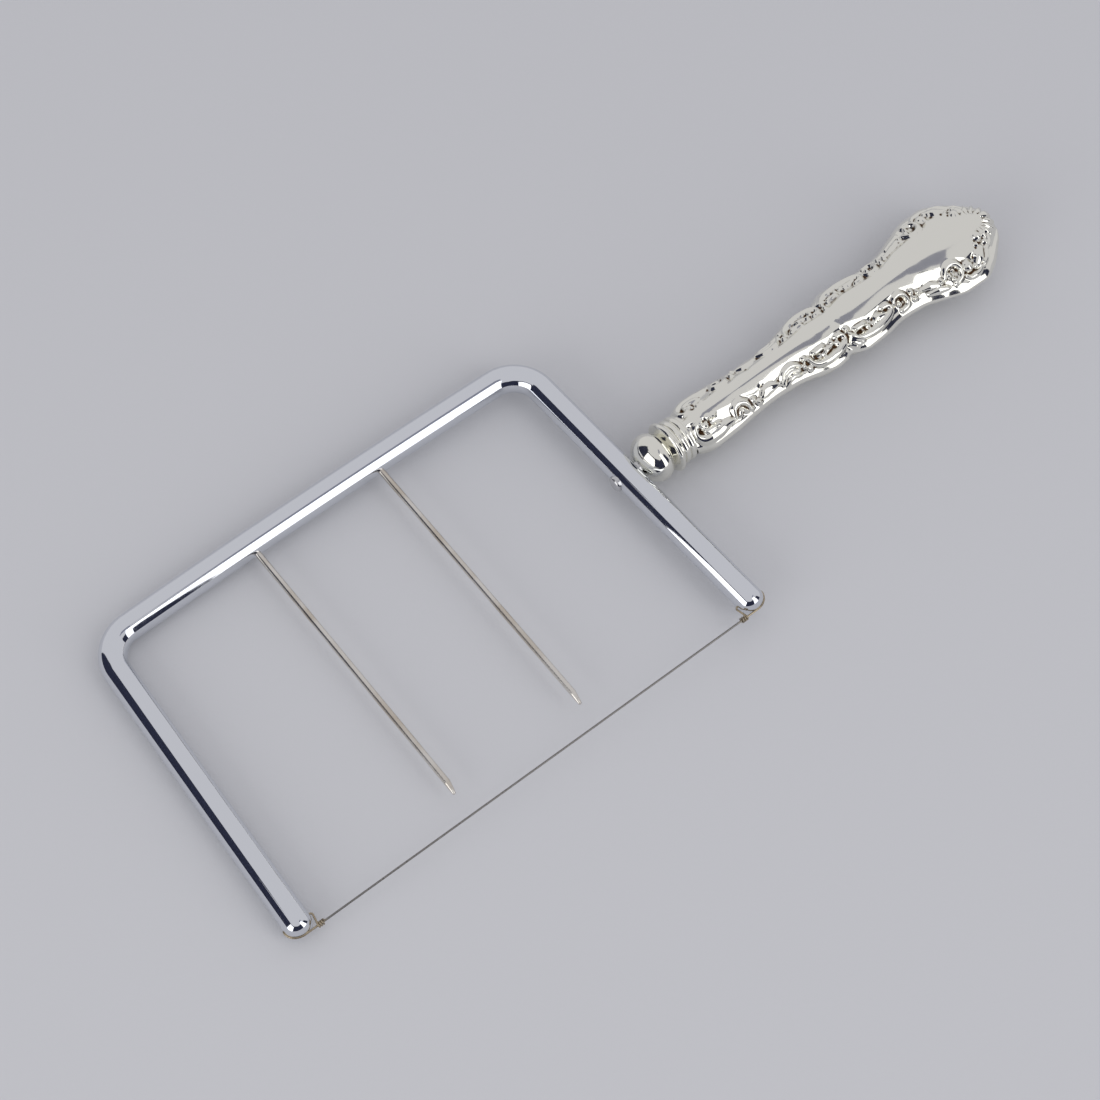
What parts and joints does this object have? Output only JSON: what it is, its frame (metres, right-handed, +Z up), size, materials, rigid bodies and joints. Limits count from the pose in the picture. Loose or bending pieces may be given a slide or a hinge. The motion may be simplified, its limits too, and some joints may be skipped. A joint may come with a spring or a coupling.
{
  "type": "cheese slicer",
  "caption": "Wire cheese slicer: a bent rod frame with standing tines and a stretched cutting wire, and a hollow ornate silver handle on one arm.",
  "frame": {"origin": "centre of the bounding box's base, on the table that the slicer lies on", "axes": "+X along the back bar and out to the handle's butt, +Y from the cutting wire to the back bar, +Z up from the table"},
  "size_m": [0.2312, 0.0842, 0.015],
  "materials": {
    "frame_chrome": "bright chrome plate on brass rod",
    "tine_metal": "polished nickel silver, slightly worn",
    "wire_metal": "drawn stainless wire, brass toned at the ties",
    "tang_metal": "plain turned steel",
    "handle_silver": "stamped and polished silver with dark tarnish in the recesses",
    "handle_fill": "resin cement"
  },
  "bodies": {
    "root": {"frame_rod": "frame_chrome", "left_tine": "tine_metal", "right_tine": "tine_metal", "cutting_wire": "wire_metal", "handle_tang": "tang_metal", "handle_ball": "handle_silver", "handle_collar": "handle_silver", "upper_handle_shell": "handle_silver", "lower_handle_shell": "handle_silver", "handle_filler": "handle_fill"}
  },
  "joints": []
}
